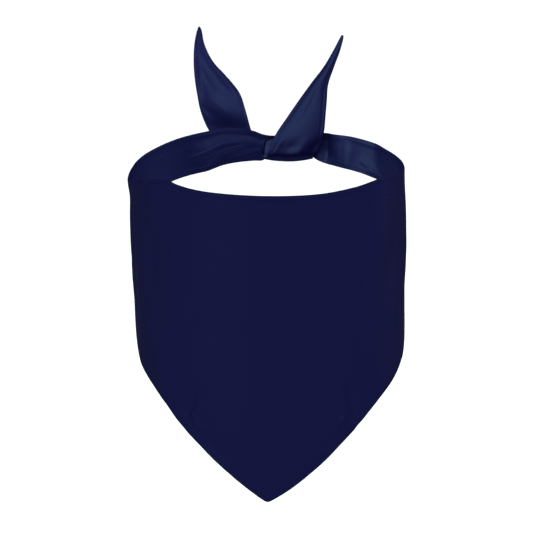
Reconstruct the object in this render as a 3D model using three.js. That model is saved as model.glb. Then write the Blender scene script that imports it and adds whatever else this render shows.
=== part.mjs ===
// A tie-on pet bandana: one hemmed cloth with a pointed drape at the front and two
// narrow ties that are half-knotted at the nape. It keeps the hollow form it has on a
// neck. Millimetres, +Z up; the drape faces -Y and the knot is at +Y. The origin is the
// middle of the neck loop, level with the front of the neck edge. Right and left are
// the wearer's: right is -X and left is +X.
import * as THREE from "three";

// ---- Driving sizes ---------------------------------------------------------

const LOOP = { halfWidth: 81.2, halfDepth: 70.5 }; // plan of the cloth's middle line
const CLOTH = 1.2; // wall of the cloth
const SEAM = 0.35; // clear gap between neighbouring pieces
const HEM = { width: 3, wall: 1 }; // the turned edge, lying on the wearer's side

// The cut, by the way round from the middle of the front: the drop at the rounded
// point, the straight hem's slope up to the shoulder, the curve into the tie, the tie's
// width there and how fast it narrows towards the knot.
const DROP = 179;
const POINT_RADIUS = 1.5;
const CUT = {
  right: { slope: 0.75, shoulder: 94, shoulderSlope: 0.95, tie: 168, width: 24.6, taper: 0 },
  left: { slope: 0.68, shoulder: 100, shoulderSlope: 0.4, tie: 162, width: 21, taper: 0.06 },
};

// Where the stretches meet, in degrees round from the front.
const SIDE = 104;
const KNOT = 152;

// The worn neck edge, by the angle round from the front: its height, how far it flares
// out, and how far the cloth below it stands out from the loop.
const NECK_EDGE = [
  { turn: -165, height: 19.6, flare: 0, spread: 0 },
  { turn: -141, height: 15.4, flare: 0, spread: 0 },
  { turn: -118, height: 9.2, flare: 0.7, spread: -0.4 },
  { turn: -107, height: 5.4, flare: 1.3, spread: -1 },
  { turn: -99, height: 2, flare: 1.5, spread: -1.3 },
  { turn: -86, height: -1.8, flare: 1.6, spread: -2.2 },
  { turn: -64, height: 2.6, flare: 0.5, spread: -0.9 },
  { turn: -46, height: 6, flare: 0, spread: 0.4 },
  { turn: -40, height: 4, flare: 0, spread: 0.5 },
  { turn: -32, height: 2.2, flare: 0, spread: 0.5 },
  { turn: -22, height: 1, flare: 0, spread: 0.7 },
  { turn: 0, height: 0, flare: 0, spread: 0.8 },
  { turn: 22, height: 0.4, flare: 0, spread: 0.7 },
  { turn: 38, height: 2.6, flare: 0, spread: 0.6 },
  { turn: 52, height: 5.3, flare: 0, spread: 0.8 },
  { turn: 68, height: 5.4, flare: 0, spread: 1.2 },
  { turn: 86, height: 5, flare: 0, spread: 1.3 },
  { turn: 100, height: 7.3, flare: 0, spread: 0.8 },
  { turn: 122, height: 11.6, flare: 0, spread: 0 },
  { turn: 144, height: 15.3, flare: 0, spread: 0 },
  { turn: 165, height: 16.2, flare: 0, spread: 0 },
];

// How much deeper the lower hem runs than its straight cut, where the stitches and the
// hang have drawn it, by the way round from the middle of the front.
const HEM_DRAW = [
  { way: -200, deeper: 0 },
  { way: -150, deeper: 0 },
  { way: -118, deeper: 0.4 },
  { way: -96, deeper: 0.6 },
  { way: -80, deeper: -0.4 },
  { way: -62, deeper: 0 },
  { way: -52, deeper: -0.6 },
  { way: -34, deeper: -0.9 },
  { way: -15, deeper: -0.6 },
  { way: 14, deeper: -0.1 },
  { way: 26, deeper: -0.6 },
  { way: 38, deeper: -1.3 },
  { way: 50, deeper: -1.8 },
  { way: 62, deeper: -1.7 },
  { way: 74, deeper: -0.8 },
  { way: 85, deeper: 0.2 },
  { way: 98, deeper: 0.5 },
  { way: 118, deeper: 0.4 },
  { way: 140, deeper: -0.4 },
  { way: 164, deeper: -1.4 },
  { way: 184, deeper: -0.5 },
  { way: 200, deeper: 0 },
];

// The drape's largest soft folds: the angle each is at, its half width in degrees, how
// far it stands out, the depths it runs between and how far round it leans on the way.
const FOLDS = [
  { turn: -76, width: 7, out: 1, from: 6, to: 92, lean: 6 },
  { turn: -60, width: 8, out: -1.4, from: 4, to: 104, lean: 9 },
  { turn: -28, width: 9, out: 1.1, from: 30, to: 150, lean: 4 },
  { turn: 16, width: 10, out: -1, from: 40, to: 160, lean: -3 },
  { turn: 34, width: 9, out: 1.2, from: 20, to: 142, lean: -4 },
  { turn: 70, width: 9, out: -1.2, from: 10, to: 112, lean: -22 },
  { turn: 80, width: 6, out: 0.9, from: 8, to: 96, lean: -4 },
];

// ---- The half knot and the two ends ----------------------------------------
// Each tie is a ribbon between its neck edge (n) and its hem edge (h), given by sections
// from where its band ends to its tip. A section holds where both edges are: x, how far
// out from the loop, and z. Then come how far the middle bulges and how thick the
// gathered cloth is. The free tail starts a share of the way along (tail).

// The right tie goes in front of the other, up over it, down behind it and round under
// it, where it fans out to its full width and stands up in front.
const RIGHT_TIE = {
  tail: 0.575,
  hems: [0.78, 0.95],
  hemSide: 1,
  sections: [
    { nx: -28, nOut: -0.4, nz: 19.3, hx: -28, hOut: -0.4, hz: -3.9, bulge: 0, wall: 1.3 },
    { nx: -18, nOut: -0.8, nz: 18.6, hx: -18, hOut: -0.8, hz: -2.3, bulge: 0, wall: 1.4 },
    { nx: -9, nOut: -1, nz: 17, hx: -9, hOut: -1.1, hz: -1.6, bulge: 0, wall: 1.7 },
    { nx: -2, nOut: -1.2, nz: 14.7, hx: -5.4, hOut: -1.3, hz: -0.2, bulge: 0, wall: 1.4 },
    { nx: 1.8, nOut: -1, nz: 13.5, hx: -2.2, hOut: -1.3, hz: 5.4, bulge: 0, wall: 1.2 },
    { nx: 5, nOut: -0.4, nz: 13.1, hx: 1.4, hOut: -0.7, hz: 8.6, bulge: 0, wall: 1.2 },
    { nx: 9, nOut: 1.4, nz: 13.2, hx: 4.6, hOut: 0.8, hz: 9.8, bulge: 0, wall: 1.4 },
    { nx: 16, nOut: 3.6, nz: 12.6, hx: 7.2, hOut: 3.4, hz: 8.2, bulge: 0, wall: 2 },
    { nx: 24, nOut: 4, nz: 9.6, hx: 5, hOut: 4.1, hz: 4.8, bulge: 0, wall: 1.8 },
    { nx: 27.6, nOut: 3.4, nz: 4.6, hx: 0.4, hOut: 3.8, hz: 2.2, bulge: -0.6, wall: 1.6 },
    { nx: 28, nOut: 1.6, nz: 1, hx: -1.4, hOut: 1.8, hz: -0.4, bulge: -1.4, wall: 1.3 },
    { nx: 28, nOut: -1.6, nz: 0.4, hx: -1.6, hOut: -1.4, hz: -0.7, bulge: -1.6, wall: 1.2 },
    { nx: 28.8, nOut: -4.2, nz: 2.8, hx: 0, hOut: -4.2, hz: 1.4, bulge: -1.2, wall: 1.2 },
    { nx: 32.2, nOut: -3.5, nz: 8.8, hx: 2, hOut: -3.9, hz: 7.6, bulge: -0.8, wall: 1.2 },
    { nx: 34.8, nOut: -2.3, nz: 17, hx: 5.3, hOut: -2.8, hz: 15, bulge: -0.7, wall: 1.2 },
    { nx: 35.9, nOut: -0.1, nz: 27.8, hx: 12.8, hOut: -0.8, hz: 26.2, bulge: -0.8, wall: 1.2 },
    { nx: 36.7, nOut: 2.3, nz: 37.1, hx: 20.2, hOut: 1.3, hz: 36.9, bulge: -0.8, wall: 1.2 },
    { nx: 37.5, nOut: 4.9, nz: 46.4, hx: 27.3, hOut: 3.7, hz: 46.6, bulge: -0.8, wall: 1.2 },
    { nx: 41, nOut: 7.8, nz: 56.9, hx: 34.7, hOut: 6.6, hz: 56.3, bulge: -0.6, wall: 1.2 },
    { nx: 44.6, nOut: 10.6, nz: 66.6, hx: 40.9, hOut: 9.6, hz: 66.8, bulge: -0.2, wall: 1.2 },
    { nx: 46.8, nOut: 13, nz: 75.4, hx: 45.4, hOut: 12.6, hz: 75.4, bulge: 0, wall: 1 },
  ],
};

// The left tie goes behind the front tail, between the other tie's two passes, then
// behind the right band, where it fans out and stands up at the back.
const LEFT_TIE = {
  tail: 0.56,
  hems: [0.7, 0.95],
  hemSide: -1,
  sections: [
    { nx: 34.4, nOut: 0.3, nz: 16.4, hx: 34.4, hOut: 0.3, hz: -1.2, bulge: 0, wall: 1.4 },
    { nx: 29, nOut: 0.6, nz: 15, hx: 30.6, hOut: 0.5, hz: 0.4, bulge: 0, wall: 1.6 },
    { nx: 22, nOut: 0.3, nz: 12.4, hx: 25.6, hOut: 0.3, hz: 3.6, bulge: 0, wall: 1.7 },
    { nx: 14, nOut: 0.1, nz: 9.8, hx: 16, hOut: 0.1, hz: 2.8, bulge: 0, wall: 1.8 },
    { nx: 7, nOut: 0.1, nz: 8.6, hx: 6.6, hOut: 0.1, hz: 2, bulge: 0, wall: 1.9 },
    { nx: 2.4, nOut: 0.9, nz: 8.8, hx: 1.6, hOut: 0.8, hz: 1.9, bulge: 0, wall: 1.8 },
    { nx: -2.2, nOut: 1.5, nz: 9.4, hx: -3.4, hOut: 1.5, hz: 1.6, bulge: 0, wall: 1.8 },
    { nx: -6, nOut: 2.2, nz: 10.8, hx: -11, hOut: 2.2, hz: 1.4, bulge: 0, wall: 1.6 },
    { nx: -8.6, nOut: 2.6, nz: 13.2, hx: -21.4, hOut: 2.6, hz: 4.2, bulge: 0, wall: 1.4 },
    { nx: -10, nOut: 2.8, nz: 15.6, hx: -30.4, hOut: 2.8, hz: 10, bulge: 0.6, wall: 1.2 },
    { nx: -11.2, nOut: 3, nz: 19, hx: -36.8, hOut: 3, hz: 18.6, bulge: 0.6, wall: 1.2 },
    { nx: -14.2, nOut: 4.4, nz: 30, hx: -41.5, hOut: 4.8, hz: 30.2, bulge: -1, wall: 1.2 },
    { nx: -17.7, nOut: 6, nz: 40, hx: -43.5, hOut: 6.7, hz: 40, bulge: -1.4, wall: 1.2 },
    { nx: -25.8, nOut: 8.4, nz: 50.4, hx: -45.1, hOut: 8.4, hz: 50.6, bulge: -1.3, wall: 1.2 },
    { nx: -34.6, nOut: 10.4, nz: 60.4, hx: -45.8, hOut: 10, hz: 60.8, bulge: -0.8, wall: 1.2 },
    { nx: -39.7, nOut: 12.4, nz: 71, hx: -45.5, hOut: 11.8, hz: 71.4, bulge: -0.3, wall: 1.2 },
    { nx: -42, nOut: 14, nz: 80.8, hx: -43.5, hOut: 13.8, hz: 80.6, bulge: 0, wall: 1 },
  ],
};

// Cells along and across each kind of piece.
const CELLS = { drape: [52, 12], band: [14, 6], tie: [44, 5], tail: [32, 6], hem: 1 };

const NAVY = "#15173d";
const HEM_NAVY = "#111335";

// ---- Curves ----------------------------------------------------------------

const radians = THREE.MathUtils.degToRad;
const { lerp, clamp } = THREE.MathUtils;

// A smooth step between two points with the given slopes.
function hermite([x0, y0, slope0], [x1, y1, slope1], x) {
  const span = x1 - x0;
  const t = clamp((x - x0) / span, 0, 1);
  const back = 1 - t;
  return (
    (1 + 2 * t) * back * back * y0 +
    t * back * back * span * slope0 +
    t * t * (3 - 2 * t) * y1 -
    t * t * back * span * slope1
  );
}

// A column of a table at a place along its key column, smooth through the rows.
function column(table, key, name, place) {
  const last = table.length - 1;
  let i = 0;
  while (i < last - 1 && place > table[i + 1][key]) i++;
  const slope = (j) => {
    const [low, high] = [table[Math.max(j - 1, 0)], table[Math.min(j + 1, last)]];
    return (high[name] - low[name]) / (high[key] - low[key]);
  };
  const end = (j) => [table[j][key], table[j][name], slope(j)];
  return hermite(end(i), end(i + 1), place);
}

// ---- The worn cloth --------------------------------------------------------

// The way round the loop from the front to an angle, along the cloth.
function wayRound(turn) {
  const steps = Math.ceil(Math.abs(turn) / 2) || 1;
  let way = 0;
  for (let i = 0; i < steps; i++) {
    const angle = radians((turn * (i + 0.5)) / steps);
    way += Math.hypot(LOOP.halfWidth * Math.cos(angle), LOOP.halfDepth * Math.sin(angle));
  }
  return (way * radians(turn)) / steps;
}

// The cut's depth from neck edge to hem at an angle round.
function cutDepth(turn) {
  const cut = turn < 0 ? CUT.right : CUT.left;
  const way = Math.abs(wayRound(turn));
  const drawn = column(HEM_DRAW, "way", "deeper", wayRound(turn));
  const straight = (from) => DROP - cut.slope * (Math.hypot(from, POINT_RADIUS) - POINT_RADIUS);
  if (way < cut.shoulder) return straight(way) + drawn;
  if (way > cut.tie) return cut.width - cut.taper * (way - cut.tie) + drawn;
  const shoulder = [cut.shoulder, straight(cut.shoulder), -cut.shoulderSlope];
  return hermite(shoulder, [cut.tie, cut.width, -cut.taper], way) + drawn;
}

// How far the drape's folds stand out at an angle and a depth below the neck edge.
function foldAt(turn, down) {
  let out = 0;
  for (const fold of FOLDS) {
    const along = clamp((down - fold.from) / (fold.to - fold.from), 0, 1);
    const off = (turn - fold.turn - fold.lean * along) / fold.width;
    out += fold.out * Math.exp(-off * off) * Math.sin(Math.PI * along) ** 2;
  }
  return out;
}

// A point of the cloth by the angle round and the depth below the neck edge.
function wornCloth(turn, depth) {
  const down = Math.max(depth, 0);
  const angle = radians(turn);
  const { halfWidth, halfDepth } = LOOP;
  const outward = new THREE.Vector3(Math.sin(angle) / halfWidth, -Math.cos(angle) / halfDepth, 0);
  const flare = column(NECK_EDGE, "turn", "flare", turn) * Math.exp(-((down / 7) ** 2));
  const spread = column(NECK_EDGE, "turn", "spread", turn) * (down / 100) ** 1.5;
  return new THREE.Vector3(
    halfWidth * Math.sin(angle),
    -halfDepth * Math.cos(angle),
    column(NECK_EDGE, "turn", "height", turn) - depth,
  ).addScaledVector(outward.normalize(), flare + spread + foldAt(turn, down));
}

// ---- The ties --------------------------------------------------------------

// A tie's surface: along it from 0 at its band to 1 at its tip, and across it from 0 at
// the hem edge to 1 at the neck edge. It starts on the worn cloth, at the given angle.
function tieSurface(sections, turn) {
  const starts = { n: wornCloth(turn, 0), h: wornCloth(turn, cutDepth(turn)) };
  const edge = (letter) => {
    const points = sections.map((row) => {
      const x = row[`${letter}x`];
      const loop = LOOP.halfDepth * Math.sqrt(1 - (x / LOOP.halfWidth) ** 2);
      return new THREE.Vector3(x, loop + row[`${letter}Out`], row[`${letter}z`]);
    });
    return new THREE.CatmullRomCurve3([starts[letter], ...points]);
  };
  const [neckEdge, hemEdge] = [edge("n"), edge("h")];
  const table = [{ bulge: 0, wall: CLOTH }, ...sections];
  const rows = table.map((row, i) => ({ ...row, along: i / sections.length }));
  const surface = (place, across) => {
    const along = clamp(place, 0, 1);
    const hem = hemEdge.getPoint(along);
    const side = neckEdge.getPoint(along).sub(hem);
    const way = neckEdge.getTangent(along).add(hemEdge.getTangent(along));
    const bulge = column(rows, "along", "bulge", along) * 4 * across * (1 - across);
    const normal = way.cross(side).normalize();
    return hem.addScaledVector(side, across).addScaledVector(normal, bulge);
  };
  return {
    surface,
    step: 0.001,
    width: (along) => neckEdge.getPoint(along).distanceTo(hemEdge.getPoint(along)),
    length: Math.min(neckEdge.getLength(), hemEdge.getLength()),
    thickness: (along) => column(rows, "along", "wall", along),
  };
}

// ---- Solids ----------------------------------------------------------------

// A closed wall about a surface, over a range along it and the range across it that
// belongs to each place. The wall may stand off the surface along its normals.
function wall({ surface, step }, [start, end], [rows, columns], across, thickness, standOff) {
  const sides = [[], []];
  for (let i = 0; i <= rows; i++) {
    const a = lerp(start, end, i / rows);
    const [from, to] = across(a);
    for (let j = 0; j <= columns; j++) {
      const b = lerp(from, to, j / columns);
      const along = surface(a + step, b).sub(surface(a - step, b));
      const aside = surface(a, b + step).sub(surface(a, b - step));
      const normal = along.cross(aside).normalize();
      const half = thickness(a) / 2;
      sides[0].push(surface(a, b).addScaledVector(normal, standOff(a) + half));
      sides[1].push(surface(a, b).addScaledVector(normal, standOff(a) - half));
    }
  }
  const index = [];
  const face = (a, b, c, d) => index.push(a, b, c, a, c, d);
  const one = (i, j) => i * (columns + 1) + j;
  const two = (i, j) => sides[0].length + one(i, j);
  for (let i = 0; i < rows; i++) {
    for (let j = 0; j < columns; j++) {
      face(one(i, j), one(i + 1, j), one(i + 1, j + 1), one(i, j + 1));
      face(two(i, j), two(i, j + 1), two(i + 1, j + 1), two(i + 1, j));
    }
    face(one(i, 0), two(i, 0), two(i + 1, 0), one(i + 1, 0));
    face(one(i, columns), one(i + 1, columns), two(i + 1, columns), two(i, columns));
  }
  for (let j = 0; j < columns; j++) {
    face(one(0, j), one(0, j + 1), two(0, j + 1), two(0, j));
    face(one(rows, j), two(rows, j), two(rows, j + 1), one(rows, j + 1));
  }
  return new THREE.BufferGeometry().setFromPoints(sides.flat()).setIndex(index);
}

const bandana = new THREE.Group();

function addPiece(name, geometry, colour) {
  const material = new THREE.MeshStandardMaterial({ color: colour, roughness: 0.5, metalness: 0 });
  const mesh = new THREE.Mesh(geometry, material);
  mesh.name = name;
  bandana.add(mesh);
}

// A piece of cloth, and a strip of turned hem that lies on the wearer's side of a cloth.
const onSurface = () => 0;
const hemWall = () => HEM.wall;
const hemStandOff = (clothWall) => clothWall / 2 + SEAM + HEM.wall / 2;

const WORN = { surface: wornCloth, step: 0.05, thickness: () => CLOTH };

// A stretch of the worn cloth between two angles, with its neck hem.
function addStretch(name, range, cells) {
  const whole = (turn) => [0, cutDepth(turn)];
  addPiece(name, wall(WORN, range, cells, whole, WORN.thickness, onSurface), NAVY);
  const edge = () => [SEAM, HEM.width];
  const standOff = () => hemStandOff(CLOTH);
  addPiece(`${name}_neck_hem`, wall(WORN, range, [cells[0], CELLS.hem], edge, hemWall, standOff), HEM_NAVY);
}

// The hem along a stretch's lower edge, as wide as the neck hem across its slant.
function addLowerHem(name, range, steps) {
  const across = (turn) => {
    const rise = cutDepth(turn + 0.5) - cutDepth(turn - 0.5);
    const slant = Math.hypot(1, rise / (wayRound(turn + 0.5) - wayRound(turn - 0.5)));
    return [cutDepth(turn) - HEM.width * slant, cutDepth(turn) - SEAM * slant];
  };
  const standOff = () => hemStandOff(CLOTH);
  addPiece(name, wall(WORN, range, [steps, CELLS.hem], across, hemWall, standOff), HEM_NAVY);
}

// A tie in the knot and its free tail, with the two hems that meet at the tail's tip.
function addTie(tieName, tailName, { sections, tail, hems, hemSide }, turn) {
  const cloth = tieSurface(sections, turn);
  const halfSeam = SEAM / cloth.length;
  const whole = () => [0, 1];
  const piece = (name, range, cells) =>
    addPiece(name, wall(cloth, range, cells, whole, cloth.thickness, onSurface), NAVY);
  piece(tieName, [0, tail - halfSeam], CELLS.tie);
  piece(tailName, [tail + halfSeam, 1], CELLS.tail);
  const inner = (along) => Math.min(HEM.width / cloth.width(along), 0.3);
  const outer = (along) => SEAM / cloth.width(along);
  const strips = {
    hem: (along) => [outer(along), inner(along)],
    neck_hem: (along) => [1 - inner(along), 1 - outer(along)],
  };
  const standOff = (along) => hemSide * hemStandOff(cloth.thickness(along));
  for (const [edge, across] of Object.entries(strips)) {
    const strip = wall(cloth, hems, [CELLS.tail[0], CELLS.hem], across, hemWall, standOff);
    addPiece(`${tailName}_${edge}`, strip, HEM_NAVY);
  }
}

// ---- The bandana -----------------------------------------------------------

// Half the seam between two neighbouring stretches, in degrees round.
const HALF_SEAM = THREE.MathUtils.radToDeg(SEAM / 2 / LOOP.halfDepth);

addStretch("front_panel", [HALF_SEAM - SIDE, SIDE - HALF_SEAM], CELLS.drape);
addLowerHem("front_panel_right_hem", [HALF_SEAM - SIDE, -HALF_SEAM], CELLS.drape[0] / 2);
addLowerHem("front_panel_left_hem", [HALF_SEAM, SIDE - HALF_SEAM], CELLS.drape[0] / 2);

const bands = {
  right_band: [HALF_SEAM - KNOT, -SIDE - HALF_SEAM],
  left_band: [SIDE + HALF_SEAM, KNOT - HALF_SEAM],
};
for (const [name, range] of Object.entries(bands)) {
  addStretch(name, range, CELLS.band);
  addLowerHem(`${name}_hem`, range, CELLS.band[0]);
}

addTie("knot_right_tie", "front_tail", RIGHT_TIE, -KNOT - HALF_SEAM);
addTie("knot_left_tie", "back_tail", LEFT_TIE, KNOT + HALF_SEAM);

export default bandana;
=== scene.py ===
"""A tie-on dog bandana in navy satin: one hemmed cloth, worn round the neck and half-knotted at the nape.

The cloth is one strip that runs from the tip of the right tie, round the drape at the front, to the tip
of the left tie. Its shape is worked out in millimetres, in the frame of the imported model: +Z is up, the
drape faces -Y and the knot is at +Y. Right and left are the wearer's, so right is -X.
"""

import math

import bpy
import numpy as np
from bpy.props import FloatProperty, FloatVectorProperty, PointerProperty
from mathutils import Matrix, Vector


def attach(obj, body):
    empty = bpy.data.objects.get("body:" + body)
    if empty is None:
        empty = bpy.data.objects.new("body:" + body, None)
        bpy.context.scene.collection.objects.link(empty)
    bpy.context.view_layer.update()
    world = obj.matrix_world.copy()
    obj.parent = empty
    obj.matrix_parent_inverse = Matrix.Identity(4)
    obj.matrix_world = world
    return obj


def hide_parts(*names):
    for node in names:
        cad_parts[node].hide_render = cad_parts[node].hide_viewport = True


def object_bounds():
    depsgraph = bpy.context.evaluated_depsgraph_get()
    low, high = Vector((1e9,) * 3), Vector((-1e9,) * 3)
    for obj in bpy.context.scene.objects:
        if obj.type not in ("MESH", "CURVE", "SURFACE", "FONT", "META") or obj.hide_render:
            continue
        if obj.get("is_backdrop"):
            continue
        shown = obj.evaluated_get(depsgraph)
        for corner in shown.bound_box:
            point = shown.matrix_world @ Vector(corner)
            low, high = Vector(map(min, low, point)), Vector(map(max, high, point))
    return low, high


bl_info = {
    "name": "Tie-on Dog Bandana",
    "version": (1, 0, 0),
    "blender": (4, 5, 0),
    "location": "View3D > Sidebar > Bandana",
    "description": "Makes a hemmed satin dog bandana with its stitches, and a studio to show it in",
    "category": "Add Mesh",
}

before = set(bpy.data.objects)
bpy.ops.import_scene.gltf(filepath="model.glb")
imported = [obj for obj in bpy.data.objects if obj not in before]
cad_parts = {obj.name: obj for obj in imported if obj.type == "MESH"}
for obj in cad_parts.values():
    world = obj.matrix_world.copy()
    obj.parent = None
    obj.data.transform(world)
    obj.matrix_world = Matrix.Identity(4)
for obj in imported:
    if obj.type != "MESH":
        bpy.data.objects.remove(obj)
CAD_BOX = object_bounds()

MM = 0.001

# How far from its edge a hem is stitched, in millimetres.
STITCH_LINE = 2.2


# ---- Sizes and colours that can be changed ------------------------------------------------------------------


def linear(code, alpha=1.0):
    """The linear colour of an sRGB hex code."""
    shares = [int(code[i : i + 2], 16) / 255 for i in (1, 3, 5)]
    return (*(s / 12.92 if s <= 0.04045 else ((s + 0.055) / 1.055) ** 2.4 for s in shares), alpha)


def length(name, description, millimetres):
    """A length's property, from its default in millimetres."""
    return FloatProperty(
        name=name, description=description, default=millimetres * MM, unit="LENGTH", precision=5
    )


def colour(name, description, code):
    """A colour's property, from its default as an sRGB hex code."""
    return FloatVectorProperty(
        name=name, description=description, default=linear(code), size=4, subtype="COLOR", min=0, max=1
    )


class BandanaCloth(bpy.types.PropertyGroup):
    """The satin and its turned hems."""

    thickness: length("Cloth", "Thickness of one layer of the satin", 0.5)
    hem_width: length("Hem", "Width of the turned hem", 3)
    hem_layers: length("Hem layers", "Thickness that the turned layers add to the cloth", 0.2)
    colour: colour("Satin", "Colour of the satin's right side", "#08062f")
    # The wrong side is lighter than the right side. Part of that is the duller back of real satin, and part is
    # painted fill light for the inside of the loop, which the lights reach less.
    back_colour_with_painted_fill: colour("Satin back", "Colour of the satin's wrong side", "#12123c")


class BandanaStitches(bpy.types.PropertyGroup):
    """The lockstitches that hold the hems."""

    stitch: length("Stitch", "Length of one stitch", 2.6)
    pitch: length("Pitch", "Distance from one stitch to the next", 3)
    thread: length("Thread", "Thickness of the sewing thread", 0.3)
    inset: length("Inset", "Distance from the hem's edge to its stitches", STITCH_LINE)
    colour: colour("Thread colour", "Colour of the sewing thread", "#08072c")


class BandanaStudio(bpy.types.PropertyGroup):
    """The floor, the lights and the camera."""

    floor_drop: length("Floor", "Distance from the bandana's point down to the floor", 70)
    floor_colour: colour("Floor colour", "Colour of the floor", "#f7f7f7")
    lens: FloatProperty(name="Lens", description="Focal length of the camera in millimetres", default=135)
    distance: length("Distance", "Distance from the camera to the bandana's middle", 1199)
    elevation: FloatProperty(
        name="Elevation",
        description="How far the camera looks down",
        default=math.radians(12),
        subtype="ANGLE",
    )


# ---- The cut and the worn shape, in millimetres ---------------------------------------------------------------

# The plan of the loop that the cloth's middle line follows.
HALF_WIDTH = 81.2
HALF_DEPTH = 70.5

# The cut, by the way round from the middle of the front: the drop at the rounded point, the straight
# hem's slope up to the shoulder, the curve into the tie, the tie's width there and how fast it narrows
# towards the knot.
DROP = 179
POINT_RADIUS = 1.5
RIGHT_CUT = dict(slope=0.75, shoulder=94, shoulder_slope=0.95, tie=168, width=24.6, taper=0)
LEFT_CUT = dict(slope=0.68, shoulder=100, shoulder_slope=0.4, tie=162, width=21, taper=0.06)

# Where the loop ends and the knot begins, in degrees round from the front.
KNOT = 152

# The worn neck edge: the angle round from the front, its height, how far it flares out, and how far the
# cloth below it stands out from the loop.
NECK_EDGE = np.array([
    (-165, 19.6, 0, 0),
    (-141, 15.4, 0, 0),
    (-118, 9.2, 0.7, -0.4),
    (-107, 5.4, 1.3, -1),
    (-99, 2, 1.5, -1.3),
    (-86, -1.8, 1.6, -2.2),
    (-64, 2.6, 0.5, -0.9),
    (-46, 6, 0, 0.4),
    (-40, 4, 0, 0.5),
    (-32, 2.2, 0, 0.5),
    (-22, 1, 0, 0.7),
    (0, 0, 0, 0.8),
    (22, 0.4, 0, 0.7),
    (38, 2.6, 0, 0.6),
    (52, 5.3, 0, 0.8),
    (68, 5.4, 0, 1.2),
    (86, 5, 0, 1.3),
    (100, 7.3, 0, 0.8),
    (122, 11.6, 0, 0),
    (144, 15.3, 0, 0),
    (165, 16.2, 0, 0),
])
TURN, HEIGHT, FLARE, SPREAD = range(4)
# The depths over which the flare dies away and at which the cloth stands out as far as the table says.
FLARE_DEPTH = 7
SPREAD_DEPTH = 100

# How much deeper the lower hem runs than its straight cut, where the stitches and the hang have drawn it,
# by the way along the cloth.
HEM_DRAW = np.array([
    (-200, 0),
    (-150, 0),
    (-118, 0.4),
    (-96, 0.6),
    (-80, -0.4),
    (-62, 0),
    (-52, -0.6),
    (-42, -0.7),
    (-34, -0.9),
    (-15, -0.6),
    (0, -0.6),
    (14, -0.1),
    (26, -0.6),
    (38, -1.3),
    (50, -1.8),
    (62, -1.7),
    (74, -0.8),
    (85, 0.2),
    (98, 0.5),
    (118, 0.4),
    (140, -0.4),
    (164, -1.4),
    (184, -0.5),
    (200, 0),
])

# The drape's largest soft folds: the angle each is at, its half width in degrees, how far it stands out,
# the depths it runs between and how far round it leans on the way.
FOLDS = [
    (-76, 7, 1, 6, 92, 6),
    (-60, 8, -1.4, 4, 104, 9),
    (-28, 9, 1.1, 30, 150, 4),
    (16, 10, -1, 40, 160, -3),
    (34, 9, 1.2, 20, 142, -4),
    (70, 9, -1.2, 10, 112, -22),
    (80, 6, 0.9, 8, 96, -4),
]

# Each tie by sections from its band to its tip: the neck edge's x, how far out from the loop it is and
# its z, then the same of the hem edge, then how far the middle bulges. The right tie goes in front of the
# other, up over it, down behind it and round under it, where it fans out and stands up in front.
RIGHT_TIE = np.array([
    (-28, -0.4, 19.3, -28, -0.4, -3.9, 0),
    (-18, -0.8, 18.6, -18, -0.8, -2.3, 0),
    (-9, -1, 17, -9, -1.1, -1.6, 0),
    (-3.4, -1.2, 14.9, -2, -1.3, -0.8, 0),
    (0.2, -1.1, 14.1, -4, -0.4, 7.4, 0),
    (3.8, -0.7, 13.9, -1.6, -0.3, 10.8, 0),
    (7.6, 0.5, 13.8, 3.6, 0.1, 12.6, 0),
    (16, 3.6, 12.6, 7.2, 3.4, 8.2, 0),
    (24, 4, 9.6, 5, 4.1, 4.8, 0),
    (27.6, 3.4, 4.6, 0.4, 3.8, 2.2, -0.6),
    (28, 1.6, 1, -1.4, 1.8, -0.4, -1.4),
    (28, -1.6, 0.4, -1.6, -1.4, -0.7, -1.6),
    (28.8, -4.2, 2.8, 0, -4.2, 1.4, -1.2),
    (32.2, -3.5, 8.8, 2, -3.9, 7.6, -0.8),
    (34.8, -2.3, 17, 5.3, -2.8, 15, -0.7),
    (35.9, -0.1, 27.8, 12.8, -0.8, 26.2, -0.8),
    (36.7, 2.3, 37.1, 20.2, 1.3, 36.9, -0.8),
    (37.5, 4.9, 46.4, 27.3, 3.7, 46.6, -0.8),
    (41, 7.8, 56.9, 34.7, 6.6, 56.3, -0.6),
    (44.6, 10.6, 66.6, 40.9, 9.6, 66.8, -0.2),
    (46.8, 13, 75.1, 45.3, 12.6, 75.1, 0),
    (46.8, 13.4, 76.7, 46.3, 13.3, 76.8, 0),
])
# The left tie goes behind the front tail, between the other tie's two passes, then behind the right band,
# where it fans out and stands up at the back.
LEFT_TIE = np.array([
    (34.4, 0.3, 16, 34.4, 0.3, -1.9, 0),
    (29, 0.6, 15, 30.6, 0.5, -0.2, 0),
    (22, 0.3, 12.4, 25.6, 0.3, 3.2, 0),
    (14, 0.1, 9.8, 16, -0.2, 2.6, 0),
    (7, 0.2, 10.6, 6.4, -3.1, 1.4, 0),
    (3.6, 1.1, 12.6, 1.6, -2.5, 0.6, 0),
    (-0.4, 1.9, 13.2, -1.8, -1.8, 0.2, 0),
    (-4.4, 2, 13, -5.4, 0.7, 0.4, 0),
    (-6.6, 2.2, 13.2, -11, 1.5, 1.4, 0),
    (-8.6, 2.7, 14, -21.4, 2.4, 4.2, 0),
    (-10, 2.9, 15.6, -30.4, 2.8, 10, 0.6),
    (-11.1, 3, 19, -36.7, 3, 18.6, 0.6),
    (-14.2, 4.4, 30, -41.5, 4.8, 30.2, -1),
    (-17.7, 6, 40, -43.5, 6.7, 40, -1.4),
    (-25.8, 8.4, 50.4, -45.1, 8.4, 50.6, -1.3),
    (-34.6, 10.4, 60.4, -45.8, 10, 60.8, -0.8),
    (-39.7, 12.4, 71, -45.5, 11.8, 71.4, -0.3),
    (-41.4, 13.8, 79.6, -44, 13.5, 79.4, 0),
    (-42.3, 14.1, 81.6, -42.9, 14.1, 81.6, 0),
])

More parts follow.
